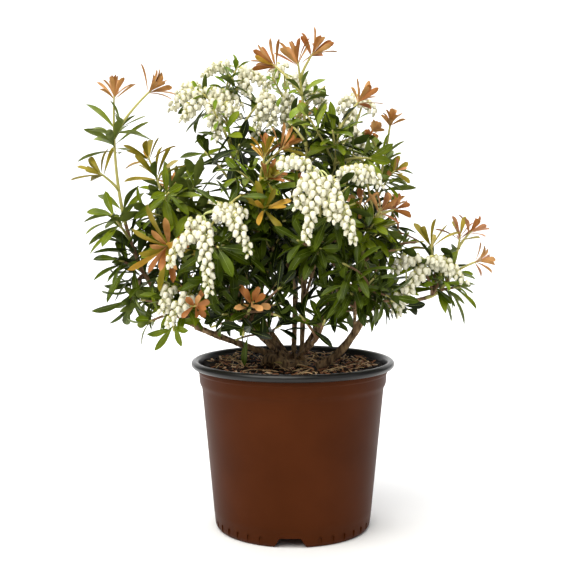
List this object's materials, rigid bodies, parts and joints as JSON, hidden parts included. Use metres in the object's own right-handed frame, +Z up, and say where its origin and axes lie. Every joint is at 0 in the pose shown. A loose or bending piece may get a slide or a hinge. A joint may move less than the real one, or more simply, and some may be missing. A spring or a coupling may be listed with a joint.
{
  "type": "potted shrub",
  "caption": "Evergreen pieris shrub in bloom, with leaf whorls, copper young tips and hanging bell racemes, in a round nursery pot.",
  "frame": {"origin": "centre of the pot's underside, on the ground", "axes": "+Z up along the pot's axis, -Y towards the front, +X to the front's right"},
  "size_m": [0.4803, 0.3749, 0.5581],
  "materials": {
    "pot_plastic": "moulded, satin",
    "bark_mix": "loose chips, dull",
    "bark": "rough bark",
    "foliage": "glossy leaves"
  },
  "bodies": {
    "root": {"pot": "pot_plastic", "potting_mix": "bark_mix", "root_crown": "bark", "low_left_stem": "bark", "left_stem": "bark", "front_left_stem": "bark", "front_right_stem": "bark", "right_stem": "bark", "centre_stem": "bark", "back_right_stem": "bark", "back_stem": "bark", "back_left_stem": "bark", "far_left_bough": "bark", "low_left_bough": "bark", "left_mid_bough": "bark", "left_front_bough": "bark", "upper_left_bough": "bark", "inner_left_bough": "bark", "upper_mid_bough": "bark", "top_bough": "bark", "centre_front_bough": "bark", "upper_right_bough": "bark", "right_mid_bough": "bark", "right_centre_bough": "bark", "far_right_bough": "bark", "inner_right_bough": "bark", "right_top_bough": "bark", "right_back_bough": "bark", "high_right_bough": "bark", "back_low_right_bough": "bark", "back_mid_bough": "bark", "high_back_bough": "bark", "left_back_bough": "bark", "back_low_left_bough": "bark", "far_left_spray": "foliage", "low_left_spray": "foliage", "left_mid_spray": "foliage", "left_front_spray": "foliage", "upper_left_spray": "foliage", "inner_left_spray": "foliage", "upper_mid_spray": "foliage", "top_spray": "foliage", "high_back_spray": "foliage", "upper_right_spray": "foliage", "high_right_spray": "foliage", "right_top_spray": "foliage", "centre_front_spray": "foliage", "right_mid_spray": "foliage", "right_centre_spray": "foliage", "inner_right_spray": "foliage", "centre_low_spray": "foliage", "front_right_spray": "foliage", "far_right_spray": "foliage", "right_back_spray": "foliage", "back_low_right_spray": "foliage", "back_mid_spray": "foliage", "left_back_spray": "foliage", "back_low_left_spray": "foliage"}
  },
  "joints": []
}
